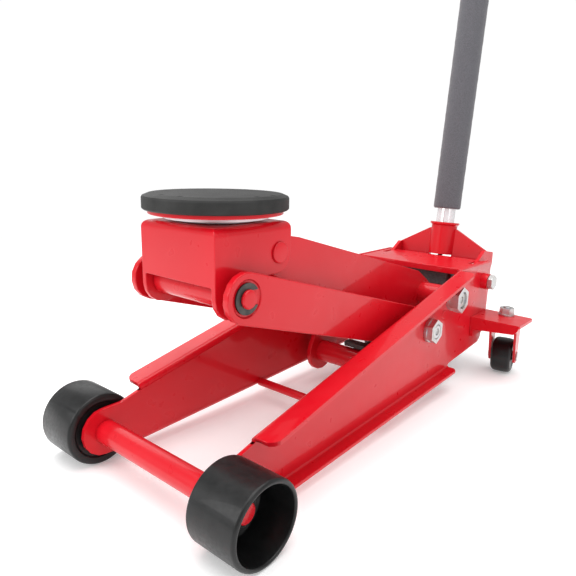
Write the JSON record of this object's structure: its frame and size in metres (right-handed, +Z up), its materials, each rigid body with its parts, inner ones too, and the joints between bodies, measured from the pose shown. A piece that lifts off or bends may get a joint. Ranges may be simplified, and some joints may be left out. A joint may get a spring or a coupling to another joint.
{
  "type": "hydraulic trolley jack",
  "caption": "Low-profile steel floor jack on four wheels: a lift arm with a swivelling round saddle, a hydraulic power unit and a long pumping handle.",
  "frame": {"origin": "middle of the jack's bounding box, on the ground under its wheels", "axes": "+X towards the saddle and front wheels, +Y to the jack's left side, +Z up"},
  "size_m": [0.8256, 0.362, 1.1795],
  "materials": {
    "red_paint": "gloss enamel",
    "zinc": "zinc plated",
    "chrome": "bright plated",
    "dark_steel": "blackened",
    "cast": "as cast, dark silver",
    "black_nylon": "moulded",
    "black_rubber": "moulded",
    "grey_foam": "fine closed-cell foam",
    "white_plastic": "moulded"
  },
  "bodies": {
    "frame": {"side_plate_left": "red_paint", "side_plate_right": "red_paint", "front_axle": "red_paint", "axle_retainer_left": "dark_steel", "axle_retainer_right": "dark_steel", "tie_rod": "red_paint", "arm_pivot_bolt_left": "zinc", "arm_pivot_bolt_right": "zinc", "arm_pivot_nut_left": "zinc", "arm_pivot_nut_right": "zinc", "link_shaft": "zinc", "link_nut_left": "zinc", "link_nut_right": "zinc", "cover_plate": "red_paint", "pump_block": "cast", "pump_barrel": "dark_steel", "filler_plug": "black_rubber", "caster_bracket_left": "red_paint", "caster_bracket_right": "red_paint", "caster_bolt_left": "zinc", "caster_bolt_right": "zinc", "caster_nut_left": "zinc", "caster_nut_right": "zinc", "yoke_bolt_left": "zinc", "yoke_bolt_right": "zinc"},
    "lift_arm": {"arm_plate_left": "red_paint", "arm_plate_right": "red_paint", "lobe_tube": "red_paint", "head_pin": "red_paint", "head_pin_clip_left": "dark_steel", "head_pin_clip_right": "dark_steel"},
    "head": {"saddle_bracket": "red_paint", "head_bush": "red_paint", "link_pin": "red_paint"},
    "saddle": {"saddle_ring": "white_plastic", "saddle_plate": "red_paint", "saddle_pad": "black_rubber"},
    "link": {"link_channel": "red_paint"},
    "ram_barrel": {"ram_cylinder": "cast"},
    "ram_piston": {"ram_rod": "dark_steel"},
    "front_wheel_a": {"front_wheel_left": "black_nylon"},
    "front_wheel_b": {"front_wheel_right": "black_nylon"},
    "caster_a": {"caster_fork_left": "red_paint", "caster_axle_left": "zinc"},
    "caster_b": {"caster_fork_right": "red_paint", "caster_axle_right": "zinc"},
    "caster_roller_a": {"caster_wheel_left": "black_nylon"},
    "caster_roller_b": {"caster_wheel_right": "black_nylon"},
    "yoke": {"handle_yoke": "red_paint", "yoke_roller": "dark_steel", "socket_screw": "dark_steel"},
    "plunger": {"pump_plunger": "chrome"},
    "handle": {"handle_lower_tube": "chrome", "foam_sleeve": "grey_foam", "handle_upper_tube": "chrome", "joint_button": "zinc", "hand_grip": "black_rubber"},
    "knuckle_rod": {"release_rod": "dark_steel"},
    "valve": {"release_valve": "zinc"}
  },
  "joints": [
    {"name": "lift_arm_pivot", "type": "hinge", "parent": "frame", "child": "lift_arm", "pos_m": [-0.05172, 0, 0.115], "axis": [0, -1, 0], "range_deg": [-26, 31]},
    {"name": "head_pivot", "type": "hinge", "parent": "lift_arm", "child": "head", "pos_m": [0.30928, 0, 0.225], "axis": [0, -1, 0], "range_deg": [-31.5, 26.5]},
    {"name": "link_pivot", "type": "hinge", "parent": "frame", "child": "link", "pos_m": [-0.12072, 0, 0.151], "axis": [0, -1, 0], "range_deg": [-26.5, 31.5]},
    {"name": "ram_tilt", "type": "hinge", "parent": "frame", "child": "ram_barrel", "pos_m": [-0.17572, 0, 0.08], "axis": [0, -1, 0], "range_deg": [-8, 9.5]},
    {"name": "ram_slide", "type": "slide", "parent": "ram_barrel", "child": "ram_piston", "axis": [0.9839, 0, -0.1787], "range_m": [-0.0257, 0.0305]},
    {"name": "saddle_swivel", "type": "hinge", "parent": "head", "child": "saddle", "pos_m": [0.27778, 0, 0.294], "axis": [0, 0, 1], "continuous": true},
    {"name": "front_wheel_a_spin", "type": "hinge", "parent": "frame", "child": "front_wheel_a", "pos_m": [0.36928, 0.1335, 0.0435], "axis": [0, 1, 0], "continuous": true},
    {"name": "front_wheel_b_spin", "type": "hinge", "parent": "frame", "child": "front_wheel_b", "pos_m": [0.36928, -0.1335, 0.0435], "axis": [0, 1, 0], "continuous": true},
    {"name": "caster_a_swivel", "type": "hinge", "parent": "frame", "child": "caster_a", "pos_m": [-0.25672, 0.14, 0.098], "axis": [0, 0, 1], "continuous": true},
    {"name": "caster_b_swivel", "type": "hinge", "parent": "frame", "child": "caster_b", "pos_m": [-0.25672, -0.14, 0.098], "axis": [0, 0, 1], "continuous": true},
    {"name": "caster_a_spin", "type": "hinge", "parent": "caster_a", "child": "caster_roller_a", "pos_m": [-0.26755, 0.13809, 0.03], "axis": [-0.1736, 0.9848, 0], "continuous": true},
    {"name": "caster_b_spin", "type": "hinge", "parent": "caster_b", "child": "caster_roller_b", "pos_m": [-0.26755, -0.13809, 0.03], "axis": [0.1736, 0.9848, 0], "continuous": true},
    {"name": "yoke_pivot", "type": "hinge", "parent": "frame", "child": "yoke", "pos_m": [-0.24072, 0, 0.16], "axis": [0, -1, 0], "range_deg": [0, 45]},
    {"name": "plunger_slide", "type": "slide", "parent": "frame", "child": "plunger", "axis": [0, 0, 1], "range_m": [-0.0275, 0.001]},
    {"name": "handle_twist", "type": "hinge", "parent": "yoke", "child": "handle", "pos_m": [-0.28072, 0, 0.19], "axis": [-0.1132, 0, 0.9936], "range_deg": [0, 120]},
    {"name": "knuckle_turn", "type": "hinge", "parent": "yoke", "child": "knuckle_rod", "pos_m": [-0.28072, 0, 0.19], "axis": [-0.8, 0, 0.6], "range_deg": [-0.5, 120.5]},
    {"name": "valve_turn", "type": "hinge", "parent": "frame", "child": "valve", "pos_m": [-0.24072, 0, 0.13], "axis": [0, 0, 1], "range_deg": [-0.5, 120.5]}
  ],
  "couplings": [
    {"joint": "head_pivot", "follows": "lift_arm_pivot", "ratio": -1},
    {"joint": "link_pivot", "follows": "lift_arm_pivot", "ratio": 1},
    {"joint": "ram_tilt", "follows": "lift_arm_pivot", "ratio": 0.281},
    {"joint": "ram_slide", "follows": "lift_arm_pivot", "m_per_rad": 0.0556},
    {"joint": "plunger_slide", "follows": "yoke_pivot", "m_per_rad": -0.0338},
    {"joint": "knuckle_turn", "follows": "handle_twist", "ratio": 1},
    {"joint": "valve_turn", "follows": "handle_twist", "ratio": 1}
  ]
}
